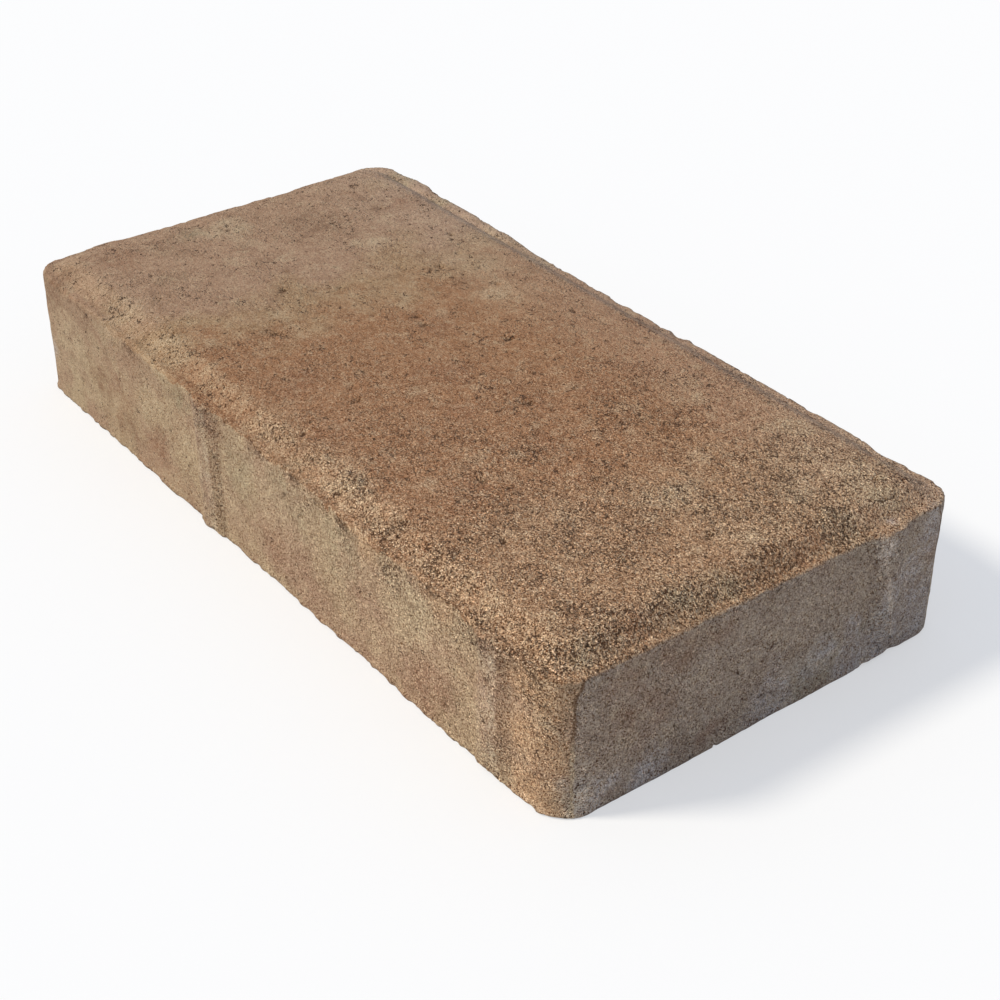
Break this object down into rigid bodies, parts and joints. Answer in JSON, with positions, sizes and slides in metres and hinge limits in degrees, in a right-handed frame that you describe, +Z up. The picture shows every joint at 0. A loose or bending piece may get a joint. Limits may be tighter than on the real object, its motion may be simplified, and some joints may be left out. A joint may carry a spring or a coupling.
{
  "type": "concrete paving stone",
  "caption": "Pressed concrete paving stone, about twice as long as wide, with bevelled wearing face, narrow land round it and spacer lugs on its sides.",
  "frame": {"origin": "middle of the bedding face, on the surface that the stone lies on", "axes": "+X along the length, +Y across the width, +Z up out of the wearing face"},
  "size_m": [0.2048, 0.1028, 0.035],
  "materials": {
    "concrete": "rough pressed concrete, through-coloured in mottled tan and brown"
  },
  "bodies": {
    "root": {"paving_stone": "concrete"}
  },
  "joints": []
}
